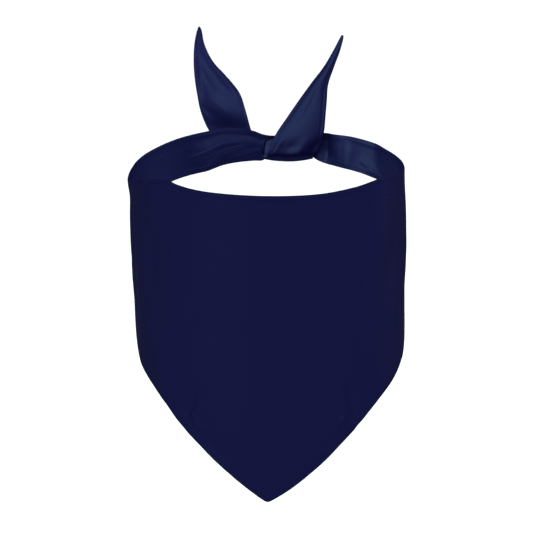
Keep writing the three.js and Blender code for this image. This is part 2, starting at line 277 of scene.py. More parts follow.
# Creases in the cloth: from and to, each by the way along the cloth from the middle of the front and the
# depth below the neck edge, then the half width and how far it stands out on the right side.
DRAPE_CREASES = [
    ((-83, 18), (-86, 66), 4.5, 0.5),
    ((-70, 70), (-79, 112), 4, -0.45),
    ((-46, 34), (-43, 62), 3.5, 0.35),
    ((-35, 36), (-33, 74), 3.2, -0.4),
    ((-24, 30), (-26, 58), 4, -0.3),
    ((-47, 66), (-40, 92), 4, -0.3),
    ((-16, 98), (-17, 126), 4, -0.35),
    ((12, 20), (14, 60), 5, 0.25),
    ((35, 34), (30, 84), 5, -0.3),
    ((60, 40), (48, 96), 5, 0.35),
    ((80, 82), (74, 114), 3.6, -0.5),
    ((96, 12), (91, 70), 3.4, 0.45),
    ((86, 4), (92, 20), 1.2, 0.22),
    ((83, 3), (88, 17), 1, -0.16),
    # The pulls beside the lower hems' tight stitches.
    ((-50, 138), (-41, 116), 2, -1.9),
    ((-46, 132), (-38, 139), 1.6, 1.5),
    ((-44, 143), (-18, 154), 5, -1.4),
    ((-20, 164), (-14, 146), 2.8, -0.8),
    ((-30, 156), (-23, 136), 2.6, 0.6),
    ((55, 140), (46, 114), 2.2, -1.9),
    ((48, 132), (39, 139), 1.6, 1.5),
    ((18, 154), (46, 143), 5, -1.4),
    ((24, 163), (17, 146), 2.8, -0.8),
    ((35, 154), (27, 136), 2.8, 0.6),
    # The sides and the back of the drape, which turn away to the shoulders.
    ((-112, 6), (-104, 54), 3.6, 1),
    ((-124, 8), (-114, 46), 3, -0.9),
    ((-136, 6), (-128, 34), 2.8, 0.7),
    ((-101, 28), (-98, 86), 4.5, -0.9),
    ((-118, 20), (-108, 70), 3, 0.6),
    ((112, 8), (108, 60), 3.8, 1),
    ((124, 6), (116, 44), 3.2, -0.9),
    ((137, 5), (131, 32), 2.6, 0.7),
    ((102, 40), (99, 92), 4, -0.8),
    ((119, 24), (110, 66), 2.6, 0.6),
]

# Creases along the bands and ties, by the way along the cloth and the share of its width from the neck
# edge.
TIE_CREASES = [
    # The right band: a swell along its neck edge, a hollow under that by the knot and fine pulls that run
    # together.
    ((-190, 0.5), (-228, 0.46), 6.5, -1.3),
    ((-204, 0.95), (-256, 0.95), 6, 0.9),
    ((-222, 0.12), (-246, 0.3), 2.4, 0.5),
    ((-190, 0.68), (-222, 0.46), 0.9, 0.3),
    ((-186, 0.6), (-214, 0.4), 0.9, -0.26),
    ((-196, 0.86), (-232, 0.52), 0.9, 0.32),
    ((-194, 0.77), (-226, 0.5), 0.8, -0.3),
    ((-208, 0.86), (-238, 0.58), 0.8, -0.3),
    ((-150, 0.3), (-190, 0.34), 1.6, -0.15),
    # The left band: the hollow beside the knot and the swell next to it.
    ((201.5, -0.5), (200.5, 1.05), 4.6, 2.6),
    ((191, 1.05), (187, 0.05), 4.4, -1.2),
    ((160, 0.9), (176, 0.6), 3, -0.4),
    # The front tail, which swells in its middle and folds where it comes out of the knot.
    ((-288, 0.8), (-272, 0.92), 1.8, 0.35),
    ((-285, 0.5), (-270, 0.72), 3.4, -0.28),
    ((-287, 0.24), (-272, 0.42), 3.6, 0.42),
    ((-288, -0.02), (-273, 0.16), 2.8, -0.4),
    ((-322, 0.6), (-296, 0.66), 2.2, -0.2),
    # The back tail: it swells over a slanting fold and is drawn in behind the band below that.
    ((292, 0.95), (274, 0.3), 4.5, -0.9),
    ((268, 0), (270, 1), 4, 0.7),
    ((284, 1), (274, 0.62), 1, 0.3),
    ((280, 1), (271, 0.7), 0.8, -0.25),
    ((316, 0.4), (290, 0.3), 3, -0.3),
    ((312, 0.75), (292, 0.6), 2, 0.25),
]

# The width that the creases along the bands and ties are drawn for.
BAND_WIDTH = 24

# The left band leans, its neck edge further out than its hem edge: from and to, by the way along the
# cloth, and how far each edge is from where it would be.
BAND_LEAN = (160, 192, 2.4)

# The gathers in the knot: how many folds lie across the tie, their phase, and how far they stand out.
GATHERS = [(2.2, 0.4, 0.4), (3.7, 1.9, 0.22), (5.3, 4.1, 0.1)]
# The ways along both ties between which they swell up, and those between which they die away again.
GATHERS_SWELL = (240, 249)
GATHERS_FADE = (266, 258)

# The back tail's hem edge curls to the wrong side: how far, how wide the curl is, and the ways along the
# cloth between which it sets in.
HEM_CURL = 0.9
CURL_WIDTH = 1.9
CURL_FROM = (272, 284)

# How far the stitches sink into the hems: everywhere, and how much more from one way along each tail to
# another.
SUNK = 0.04
SUNK_ON_TAILS = [(-286, -294, 0.24), (284, 292, 0.08)]


# ---- Curves ---------------------------------------------------------------------------------------------------


def hermite(x0, y0, slope0, x1, y1, slope1, x):
    """A smooth step between two points with the given slopes."""
    span = x1 - x0
    t = np.clip((x - x0) / span, 0, 1)
    back = 1 - t
    rise = (1 + 2 * t) * back**2 * y0 + t**2 * (3 - 2 * t) * y1
    return rise + t * back * span * (back * slope0 - t * slope1)


def column(keys, values, places):
    """A table's column at places along its key column, smooth through the rows."""
    last = len(keys) - 1
    low = np.maximum(np.arange(last + 1) - 1, 0)
    high = np.minimum(np.arange(last + 1) + 1, last)
    slopes = (values[high] - values[low]) / (keys[high] - keys[low])
    i = np.searchsorted(keys[1:-1], places)
    return hermite(keys[i], values[i], slopes[i], keys[i + 1], values[i + 1], slopes[i + 1], places)


def smooth_step(low, high, x):
    """A smooth step from 0 at low to 1 at high."""
    t = np.clip((x - low) / (high - low), 0, 1)
    return t * t * (3 - 2 * t)


def catmull_rom(points, before, places):
    """A centripetal curve through points, at shares of its spans from 0 to 1, which sets out from the first
    one as if it came from the point before."""
    points = np.vstack([before, points, 2 * points[-1] - points[-2]])
    spans = len(points) - 3
    place = np.clip(places, 0, 1) * spans
    i = np.minimum(place.astype(int), spans - 1)
    t = (place - i)[:, None]
    p = [points[i + k] for k in range(4)]
    gaps = [np.sqrt(np.linalg.norm(p[k + 1] - p[k], axis=1))[:, None] for k in range(3)]

    def slope_at(k):
        near, far = gaps[k - 1], gaps[k]
        slope = (p[k] - p[k - 1]) / near - (p[k + 1] - p[k - 1]) / (near + far) + (p[k + 1] - p[k]) / far
        return slope * gaps[1]

    slope = [slope_at(1), slope_at(2)]
    rise = p[2] - p[1]
    bend = 3 * rise - 2 * slope[0] - slope[1]
    twist = slope[0] + slope[1] - 2 * rise
    return p[1] + t * (slope[0] + t * (bend + t * twist))


def unit(vectors):
    """The vectors at a length of 1."""
    return vectors / np.linalg.norm(vectors, axis=-1, keepdims=True)


# ---- The worn cloth -------------------------------------------------------------------------------------------


def way_round(turn):
    """The way round the loop from the front to an angle, along the cloth."""
    steps = 120
    angle = np.radians(turn) * (np.arange(steps) + 0.5) / steps
    pace = np.hypot(HALF_WIDTH * np.cos(angle), HALF_DEPTH * np.sin(angle))
    return pace.sum() * np.radians(turn) / steps


def cut_depth(way):
    """The cut's depth from the neck edge to the lower hem, by the way along the cloth."""
    ways, deeper = HEM_DRAW.T
    drawn = float(column(ways, deeper, np.clip(way, ways[0], ways[-1])))
    cut = RIGHT_CUT if way < 0 else LEFT_CUT
    way = abs(way)

    def straight(along):
        return DROP - cut["slope"] * (math.hypot(along, POINT_RADIUS) - POINT_RADIUS)

    if way < cut["shoulder"]:
        return straight(way) + drawn
    if way > cut["tie"]:
        return cut["width"] - cut["taper"] * (way - cut["tie"]) + drawn
    shoulder = (cut["shoulder"], straight(cut["shoulder"]), -cut["shoulder_slope"])
    return float(hermite(*shoulder, cut["tie"], cut["width"], -cut["taper"], way)) + drawn


def hem_slant(way):
    """How much longer the lower hem's width is straight down than across its slant."""
    cut = RIGHT_CUT if way < 0 else LEFT_CUT
    if abs(way) < cut["shoulder"]:
        return math.hypot(1, cut["slope"])
    return math.hypot(1, cut_depth(way + 0.5) - cut_depth(way - 0.5))


def fold_at(turn, down):
    """How far the drape's folds stand out at an angle and a depth below the neck edge."""
    out = 0
    for place, half_width, height, start, end, lean in FOLDS:
        along = np.clip((down - start) / (end - start), 0, 1)
        off = (turn - place - lean * along) / half_width
        out = out + height * np.exp(-(off**2)) * np.sin(np.pi * along) ** 2
    return out


def worn_cloth(turn, down):
    """Points of the cloth round the loop, by the angle round and the depth below the neck edge."""
    keys = NECK_EDGE[:, TURN]
    angle = np.radians(turn)
    outward = unit(np.stack([np.sin(angle) / HALF_WIDTH, -np.cos(angle) / HALF_DEPTH], -1))
    flare = column(keys, NECK_EDGE[:, FLARE], turn) * np.exp(-((down / FLARE_DEPTH) ** 2))
    spread = column(keys, NECK_EDGE[:, SPREAD], turn) * (np.maximum(down, 0) / SPREAD_DEPTH) ** 1.5
    out = flare + spread + fold_at(turn, down)
    x = HALF_WIDTH * np.sin(angle) + outward[..., 0] * out
    y = -HALF_DEPTH * np.cos(angle) + outward[..., 1] * out
    return np.stack([x, y, column(keys, NECK_EDGE[:, HEIGHT], turn) - down], -1)


# ---- The cloth as one strip -----------------------------------------------------------------------------------

# Rows along the two ties, for each of their sections, and round the loop, and columns between the hems.
ROWS_PER_SECTION = 5
LOOP_ROWS = 290
PANEL_COLUMNS = 56
# Columns across a hem, by the distance from the edge: close together at the edge, the stitches and the
# step where the turned layers end.
HEM_COLUMNS = np.array([0, 0.3, 0.7, 1.2, 1.6, 1.9, 2.2, 2.5, 2.8, 3.1, 3.5, 4, 4.8])
HEM_SHARE = 0.3  # the most of a narrow tip's width that one hem takes up
# How far round the loop a tie's curve looks back for its start, in degrees.
LOOK_BACK = 12

# The turned layers end in a soft step, from this far outside the hem's width to this far inside it.
STEP_OUTSIDE = 1.5
STEP_INSIDE = 1.2

# A stitch: its points from its start at 0 to its end at 1, and at each of them how high the thread's
# middle lies above the cloth and how thick the thread is, both as shares of its radius, and the thread's
# sides.
STITCH_PLACES = np.array([0, 0.14, 0.38, 0.62, 0.86, 1])
STITCH_LIFTS = np.array([-1.3, -0.6, -0.4, -0.4, -0.6, -1.3])
STITCH_RADII = np.array([0.55, 1, 1, 1, 1, 0.55])
STITCH_SIDES = 6

# The roll of cloth at each edge: its points' angles, from one side of the cloth to the other.
ROLL_ANGLES = np.radians([60, 25, -25, -60])
ROLL = len(ROLL_ANGLES)


class Strip:
    """The cloth's middle surface: rows along it from the right tie's tip to the left tie's, and columns
    across it from the neck edge to the hem edge.

    way is how far along the cloth each row is from the middle of the front. across is how far each point is
    from the neck edge, and share the same as a share of the cloth's width there. hems holds how far it is
    from the neck edge and from the hem edge, square to them. Near a tip, where the hems are narrower, both
    count as if the hems were whole.
    """

    def __init__(self):
        turns = np.linspace(-KNOT, KNOT, LOOP_ROWS + 1)
        ways = np.array([way_round(turn) for turn in turns])
        loop_widths = np.array([cut_depth(way) for way in ways])
        loop_slants = np.array([hem_slant(way) for way in ways])

        def loop_points(across):
            return worn_cloth(turns[:, None], across)

        parts = [
            self.tie(RIGHT_TIE, -KNOT, reverse=True),
            (loop_points, loop_widths, loop_slants),
            self.tie(LEFT_TIE, KNOT, reverse=False),
        ]
        self.points = []
        self.across = []
        hems = []
        for points_at, widths, slants in parts:
            scale = np.minimum(1, HEM_SHARE * widths / HEM_COLUMNS[-1])
            near = HEM_COLUMNS * scale[:, None]
            far = widths[:, None] - (HEM_COLUMNS * (scale * slants)[:, None])[:, ::-1]
            shares = np.linspace(0, 1, PANEL_COLUMNS + 2)[1:-1]
            middle = near[:, -1:] + (far[:, :1] - near[:, -1:]) * shares
            across = np.hstack([near, middle, far])
            self.across.append(across)
            self.points.append(points_at(across))
            below = (widths[:, None] - across) / slants[:, None]
            hems.append(np.stack([across, below]) / scale[:, None])
        self.rows_in_parts = [len(part) for part in self.points]
        self.points = np.vstack(self.points)
        self.across = np.vstack(self.across)
        self.hems = np.concatenate(hems, axis=1)
        self.share = self.across / np.concatenate([widths for _, widths, _ in parts])[:, None]
        self.way = self.measure_way(ways)
        self.normals = self.facing()

    def tie(self, sections, turn, reverse):
        """A tie's points, widths and slants: for rows from its band to its tip, or in reverse."""
        rows = len(sections) * ROWS_PER_SECTION
        along = np.arange(1, rows + 1) / rows
        if reverse:
            along = along[::-1]
        step = math.copysign(LOOK_BACK, turn)
        way = way_round(turn)
        places = [turn - step, turn]
        edges = []
        for first, depths in ((0, (0, 0)), (3, (cut_depth(way - step), cut_depth(way)))):
            before, start = (worn_cloth(np.array([at]), depth)[0] for at, depth in zip(places, depths))
            x, out, z = sections[:, first : first + 3].T
            y = HALF_DEPTH * np.sqrt(1 - (x / HALF_WIDTH) ** 2) + out
            points = np.vstack([start, np.stack([x, y, z], -1)])
            edges.append((points, before))
        bulges = np.append(0, sections[:, 6])
        keys = np.linspace(0, 1, len(bulges))
        delta = 1e-3

        def at(shift):
            return [catmull_rom(points, before, along + shift) for points, before in edges]

        neck, hem = at(0)
        heading = np.add(*at(delta)) - np.add(*at(-delta))
        widths = np.linalg.norm(neck - hem, axis=1)
        square = unit(np.cross(heading, neck - hem)) * column(keys, bulges, along)[:, None]

        def points_at(across):
            share = (across / widths[:, None])[..., None]
            flat = neck[:, None] * (1 - share) + hem[:, None] * share
            return flat + 4 * share * (1 - share) * square[:, None]

        return points_at, widths, np.ones(rows)

    def measure_way(self, loop_ways):
        """The way along the cloth of every row, from the middle of the front."""
        middle = (self.points[:, 0] + self.points[:, -1]) / 2
        steps = np.linalg.norm(np.diff(middle, axis=0), axis=1)
        first, loop, last = self.rows_in_parts
        right = loop_ways[0] - np.cumsum(steps[:first][::-1])[::-1]
        left = loop_ways[-1] + np.cumsum(steps[first + loop - 1 :])
        return np.concatenate([right, loop_ways, left])

    def facing(self):
        """The unit normals on the cloth's right side."""
        down = np.gradient(self.points, axis=1)
        along = np.gradient(self.points, axis=0)
        return unit(np.cross(down, along))

    def push(self, out):
        """Moves the cloth out along its normals."""
        self.points = self.points + self.normals * out[..., None]
        self.normals = self.facing()


def crease(u, v, start, end, half_width, height):
    """A soft trough or ridge from start to end, with ends that fade out."""
    line = np.subtract(end, start)
    reach = np.hypot(*line)
    along = ((u - start[0]) * line[0] + (v - start[1]) * line[1]) / reach**2
    off = ((u - start[0]) * line[1] - (v - start[1]) * line[0]) / reach
    fade = smooth_step(-0.15, 0.35, along) * smooth_step(1.15, 0.65, along)
    return height * np.exp(-((off / half_width) ** 2)) * fade


def unevenness(way, down):
    """The slow unevenness that a cloth that hangs free has everywhere."""
    wide = np.sin(way / 9.1 + 0.6 * np.sin(down / 21)) * np.sin(down / 33 + way / 57 + 1)
    fine = np.sin(way / 4.7 + down / 40 + 2) * np.sin(way / 31 + 0.5)
    return 0.12 * wide + 0.07 * fine


def gathers(way, share):
    """Folds that run along both ties inside the knot and are flatter towards the hem edge."""
    reach = np.abs(way)
    tight = smooth_step(*GATHERS_SWELL, reach) * smooth_step(*GATHERS_FADE, reach)
    tight *= 1 - 0.7 * smooth_step(0.5, 0.9, share)
    out = 0
    for folds, start, height in GATHERS:
        wander = 0.5 * np.sin(way / 17 + start)
        out = out + height * tight * np.cos(2 * np.pi * folds * share + start + wander)
    return out


def band_lean(way, share):
    """How far the left band leans out. The lean sets in and dies away round the ends of its stretch."""
    start, end, lean = BAND_LEAN
    reach = (end - start) / 4
    fade = smooth_step(start - reach, start + reach, way) * smooth_step(end + reach, end - reach, way)
    return lean * fade * (1 - 2 * share)


def puckers(way, hem, k):
    """How hem k, of the neck edge (0) or the lower edge (1), puckers a little between its stitches, unevenly
    along it, and sinks in where it is stitched, which shows less on the lower edge."""
    uneven = 0.6 + 0.4 * np.sin(way / 37 + 2 * k)
    ripple = np.sin(2 * np.pi * way / 6.4 + 1.4 * np.sin(way / 19 + k))
    sunk = SUNK
    for start, end, more in SUNK_ON_TAILS:
        sunk = sunk + more * smooth_step(start, end, way)
    off = hem - STITCH_LINE
    swell = 0.05 * uneven * ripple * np.exp(-((off / 3) ** 2))
    return swell - sunk * (1 - 0.8 * k) * np.exp(-((off / 0.5) ** 2))


def drape(strip):
    """Lays the creases, the gathers and the hems' puckers into the cloth."""
    way = np.repeat(strip.way[:, None], strip.across.shape[1], axis=1)
    out = np.zeros_like(way)
    for row in DRAPE_CREASES:
        out += crease(way, strip.across, *row)
    for (start, start_share), (end, end_share), half_width, height in TIE_CREASES:
        ends = (start, start_share * BAND_WIDTH), (end, end_share * BAND_WIDTH)
        out += crease(way, strip.share * BAND_WIDTH, *ends, half_width, height)
    out += unevenness(way, strip.across)
    out += gathers(way, strip.share)
    out += band_lean(way, strip.share)
    out -= HEM_CURL * smooth_step(*CURL_FROM, way) * np.exp(-((strip.hems[1] / CURL_WIDTH) ** 2))
    for k, hem in enumerate(strip.hems):
        out += puckers(way, hem, k)
    strip.push(out)


def hem_step(strip, hem_width):
    """How much of the turned layers lies behind the cloth at each point, from 0 to 1."""
    near = strip.hems.min(axis=0)
    return smooth_step(hem_width + STEP_OUTSIDE, hem_width - STEP_INSIDE, near)


# ---- Meshes ---------------------------------------------------------------------------------------------------


def closed_strip(strip, thickness, layers, hem_width):
    """Points and faces of the cloth as a closed shell: its right side, a roll at each edge and its wrong
    side, where the turned hems stand off it by their layers. The faces that close its two ends come last."""
    extra = layers * hem_step(strip, hem_width)
    front = strip.points + strip.normals * thickness / 2
    back = strip.points - strip.normals * (thickness / 2 + extra)[..., None]
    rolls = []
    for edge, inner, angles in ((-1, -2, ROLL_ANGLES), (0, 1, -ROLL_ANGLES)):
        aside = strip.points[:, edge] - strip.points[:, inner]
        normal = strip.normals[:, edge]
        aside = unit(aside - normal * (aside * normal).sum(axis=1, keepdims=True))
        radius = (thickness + extra[:, edge]) / 2
        middle = strip.points[:, edge] - normal * (extra[:, edge] / 2)[:, None]
        roll = [middle + (aside * math.cos(a) + normal * math.sin(a)) * radius[:, None] for a in angles]
        rolls.append(np.stack(roll, axis=1))
    ring = np.concatenate([front, rolls[0], back[:, ::-1], rolls[1]], axis=1)
    rows, around = ring.shape[:2]
    faces = []
    for i in range(rows - 1):
        for j in range(around):
            k = (j + 1) % around
            faces.append((i * around + j, i * around + k, (i + 1) * around + k, (i + 1) * around + j))
    faces += cap_faces(around, 0, flip=True)
    faces += cap_faces(around, rows - 1, flip=False)
    return ring, faces


def make_mesh(name, points, faces, materials):
    """A smooth object from points in millimetres and the faces between them."""
    mesh = bpy.data.meshes.new(name)
    mesh.from_pydata((points.reshape(-1, 3) * MM).tolist(), [], faces)
    mesh.polygons.foreach_set("use_smooth", [True] * len(mesh.polygons))
    for material in materials:
        mesh.materials.append(material)
    mesh.update()
    obj = bpy.data.objects.new(name, mesh)
    bpy.context.collection.objects.link(obj)
    return obj


def cap_faces(around, row, flip):
    """Faces that close the end of the shell at one of its rows: a strip between its two sides, and its
    rolls."""
    columns = around // 2 - ROLL
    start = row * around
    faces = []
    for j in range(columns - 1):
        back = 2 * columns + ROLL - 1 - j
        faces.append((start + j, start + j + 1, start + back - 1, start + back))
    faces.append([start + columns - 1 + j for j in range(ROLL + 2)])
    faces.append([start + 2 * columns + ROLL - 1 + j for j in range(ROLL + 1)] + [start])
    return [tuple(face[::-1]) if flip else tuple(face) for face in faces]


# ---- Materials ------------------------------------------------------------------------------------------------


def add_node(tree, kind, settings=(), links=()):
    """Adds a node with its settings, on the node or its sockets, and the links into it."""
    node = tree.nodes.new(kind)
    for name, value in dict(settings).items():
        if isinstance(name, str) and hasattr(node, name):
            setattr(node, name, value)
        else:
            node.inputs[name].default_value = value
    for name, source in dict(links).items():
        tree.links.new(source, node.inputs[name])
    return node


def new_material(name):
    """An empty material and its node tree."""
    material = bpy.data.materials.new(name)
    material.use_nodes = True
    material.node_tree.nodes.clear()
    return material, material.node_tree


def satin(name, colour, roughness, metallic):
    """Satin-woven polyester, piece-dyed navy and pressed flat: long floats give a soft, wide gloss that is
    drawn out one way, with a weave that is just seen, and a faint unevenness in the dye."""
    material, tree = new_material(name)
    place = add_node(tree, "ShaderNodeUVMap", {"uv_map": "cloth"})

    # The map is in millimetres. Each pattern is drawn out by this much along the cloth and across it. Yarns
    # are 0.12 mm apart, and are drawn ten times as coarse, so that they show.
    stretched = {}
    for pattern, (along, across) in {"yarn": (1.2, 1.2), "slub": (7, 1.1), "dye": (26, 34)}.items():
        mapping = add_node(
            tree, "ShaderNodeMapping", {"Scale": (1 / along, 1 / across, 1)}, {"Vector": place.outputs["UV"]}
        )
        stretched[pattern] = mapping.outputs["Vector"]
    twill = add_node(
        tree,
        "ShaderNodeTexWave",
        {"bands_direction": "DIAGONAL", "Scale": 0.31, "Distortion": 0.5, "Detail": 1.0},
        {"Vector": stretched["yarn"]},
    )
    # Slubs: short, slightly thicker stretches of yarn along the length of the cloth.
    slubs = add_node(
        tree,
        "ShaderNodeTexNoise",
        {"Scale": 1.0, "Detail": 2.0, "Roughness": 0.5},
        {"Vector": stretched["slub"]},
    )
    dye = add_node(
        tree,
        "ShaderNodeTexNoise",
        {"Scale": 1.0, "Detail": 3.0, "Roughness": 0.55},
        {"Vector": stretched["dye"]},
    )
    shade = add_node(
        tree,
        "ShaderNodeMapRange",
        {"From Min": 0.3, "From Max": 0.7, "To Min": 0.96, "To Max": 1.04},
        {"Value": dye.outputs["Fac"]},
    )
    slub_shade = add_node(
        tree,
        "ShaderNodeMapRange",
        {"From Min": 0.3, "From Max": 0.7, "To Min": 0.97, "To Max": 1.03},
        {"Value": slubs.outputs["Fac"]},
    )
    value = add_node(
        tree,
        "ShaderNodeMath",
        {"operation": "MULTIPLY"},
        {0: shade.outputs["Result"], 1: slub_shade.outputs["Result"]},
    )
    tinted = add_node(
        tree,
        "ShaderNodeVectorMath",
        {"operation": "SCALE", 0: colour[:3]},
        {"Scale": value.outputs["Value"]},
    )
    gloss = add_node(
        tree,
        "ShaderNodeMapRange",
        {"From Min": 0.3, "From Max": 0.7, "To Min": roughness - 0.04, "To Max": roughness + 0.04},
        {"Value": slubs.outputs["Fac"]},
    )
    relief = add_node(
        tree,
        "ShaderNodeMath",
        {"operation": "MULTIPLY_ADD", 1: 0.5},
        {0: slubs.outputs["Fac"], 2: twill.outputs["Fac"]},
    )
    bump = add_node(
        tree, "ShaderNodeBump", {"Strength": 0.25, "Distance": 0.04 * MM}, {"Height": relief.outputs["Value"]}
    )
    # The metallic share gives the wide gloss the dye's own colour, as floats that lie side by side do,
    # and the specular tint is its colour at a glancing angle. The thin coat is the plain shine of the
    # pressed yarns.
    shader = add_node(
        tree,
        "ShaderNodeBsdfPrincipled",
        {
            "Metallic": metallic,
            "IOR": 1.57,
            "Specular IOR Level": 0,
            "Specular Tint": (0.014, 0.014, 0.08, 1),
            "Anisotropic": 0.3,
            "Coat Weight": 0.018,
            "Coat Roughness": 0.35,
            "Coat IOR": 2.4,
        },
        {
            "Base Color": tinted.outputs["Vector"],
            "Roughness": gloss.outputs["Result"],
            "Normal": bump.outputs["Normal"],
        },
    )
    add_node(tree, "ShaderNodeOutputMaterial", {}, {"Surface": shader.outputs["BSDF"]})
    return material


def thread(colour):
    """Spun polyester sewing thread, two plies twisted together: a matt, faintly striped cord."""
    material, tree = new_material("spun_polyester_thread")
    place = add_node(tree, "ShaderNodeTexCoord")
    mapping = add_node(
        tree, "ShaderNodeMapping", {"Scale": (1 / MM, 1 / MM, 1 / MM)}, {"Vector": place.outputs["Object"]}
    )
    plies = add_node(
        tree,
        "ShaderNodeTexWave",
        {"bands_direction": "DIAGONAL", "Scale": 0.6, "Distortion": 1.0},
        {"Vector": mapping.outputs["Vector"]},
    )
    shade = add_node(
        tree,
        "ShaderNodeMapRange",
        {"To Min": 0.75, "To Max": 1.15},
        {"Value": plies.outputs["Fac"]},
    )
    tinted = add_node(
        tree,
        "ShaderNodeVectorMath",
        {"operation": "SCALE", 0: colour[:3]},
        {"Scale": shade.outputs["Result"]},
    )
    bump = add_node(
        tree, "ShaderNodeBump", {"Strength": 0.3, "Distance": 0.05 * MM}, {"Height": plies.outputs["Fac"]}
    )
    shader = add_node(
        tree,
        "ShaderNodeBsdfPrincipled",
        {"IOR": 1.55, "Specular IOR Level": 0, "Roughness": 0.7},
        {"Base Color": tinted.outputs["Vector"], "Normal": bump.outputs["Normal"]},
    )
    add_node(tree, "ShaderNodeOutputMaterial", {}, {"Surface": shader.outputs["BSDF"]})
    return material


def matt_paint(colour):
    """A studio floor rolled in matt white paint: pale and even, with the faint stipple of the roller."""
    material, tree = new_material("matt_white_floor_paint")
    place = add_node(tree, "ShaderNodeTexCoord")
    stipple = add_node(
        tree, "ShaderNodeTexNoise", {"Scale": 90.0, "Detail": 3.0}, {"Vector": place.outputs["Object"]}
    )
    bump = add_node(
        tree, "ShaderNodeBump", {"Strength": 0.05, "Distance": 0.2 * MM}, {"Height": stipple.outputs["Fac"]}
    )
    shader = add_node(
        tree,
        "ShaderNodeBsdfPrincipled",
        {"Base Color": tuple(colour), "Roughness": 0.9, "IOR": 1.45},
        {"Normal": bump.outputs["Normal"]},
    )
    add_node(tree, "ShaderNodeOutputMaterial", {}, {"Surface": shader.outputs["BSDF"]})
    return material


# ---- The studio -----------------------------------------------------------------------------------------------

# The softboxes: the way round from the front and the height above the horizon in degrees, the size in metres,
# the power in watts, and the gel. The gels give the satin a gloss that is greener than its dye.
GREEN_GEL = (0.52, 1, 0.6)
CYAN_GEL = (0.75, 1, 1)
SOFTBOXES = {
    "key_softbox": (-30, 22, 0.6, 19, GREEN_GEL),
    "side_softbox": (-84, 20, 0.5, 11, GREEN_GEL),
    "far_softbox": (42, 18, 0.5, 9, GREEN_GEL),
    "fill_softbox": (100, 10, 0.8, 12, CYAN_GEL),
}
# How far the softboxes stand from the knot, how bright the white room is, and half the floor's width, in
# metres.
SOFTBOX_DISTANCE = 1.8
ROOM_BRIGHTNESS = 1.1
FLOOR_REACH = 6

# The camera's sensor, in millimetres, and the point it looks at, in the model's frame.
SENSOR_WIDTH = 36
CAMERA_TARGET = (-0.6, 0, -55)


# ---- Operators ------------------------------------------------------------------------------------------------


def draped_strip():
    """The worn cloth with everything that is laid into it."""
    strip = Strip()
    drape(strip)
    return strip


class BANDANA_OT_cloth(bpy.types.Operator):
    """Make the bandana's cloth with its turned hems, worn and knotted"""

    bl_idname = "mesh.bandana_cloth"
    bl_label = "Cloth"

    def execute(self, context):
        sizes = context.scene.bandana_cloth
        thickness, layers = sizes.thickness / MM, sizes.hem_layers / MM
        hem_width = sizes.hem_width / MM
        strip = draped_strip()
        ring, faces = closed_strip(strip, thickness, layers, hem_width)
        materials = [
            satin("navy_satin_woven_polyester", sizes.colour, roughness=0.36, metallic=0.4),
            # The wrong side's lighter colour is partly painted fill light for the inside of the loop.
            satin("navy_satin_wrong_side_with_painted_fill", sizes.back_colour_with_painted_fill, roughness=0.4, metallic=0.35),
        ]
        cloth = make_mesh("bandana_cloth", ring, faces, materials)
        self.map_cloth(cloth.data, strip)
        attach(cloth, "root")
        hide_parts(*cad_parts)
        return {"FINISHED"}

    def map_cloth(self, mesh, strip):
        """Lays the cut's own place on the cloth, in millimetres, and gives its wrong side its own finish, whose
        lighter colour is partly painted fill light.
        """
        across = strip.across
        rows, columns = across.shape
        around = 2 * (columns + ROLL)
        neck, hem = (np.repeat(across[:, [edge]], ROLL, axis=1) for edge in (0, -1))
        down = np.concatenate([across, hem, across[:, ::-1], neck], axis=1)
        along = np.repeat(strip.way[:, None], around, axis=1)
        places = np.stack([along, -down], -1).reshape(-1, 2)
        corners = np.empty(len(mesh.loops), dtype=np.int64)
        mesh.loops.foreach_get("vertex_index", corners)
        layer = mesh.uv_layers.new(name="cloth")
        layer.data.foreach_set("uv", places[corners].astype(np.float32).ravel())
        wrong = np.zeros(len(mesh.polygons), dtype=np.int32)
        shell = (rows - 1) * around
        j = np.arange(shell) % around
        wrong[:shell] = (j >= columns + ROLL // 2) & (j < 2 * columns + ROLL + ROLL // 2)
        mesh.polygons.foreach_set("material_index", wrong)


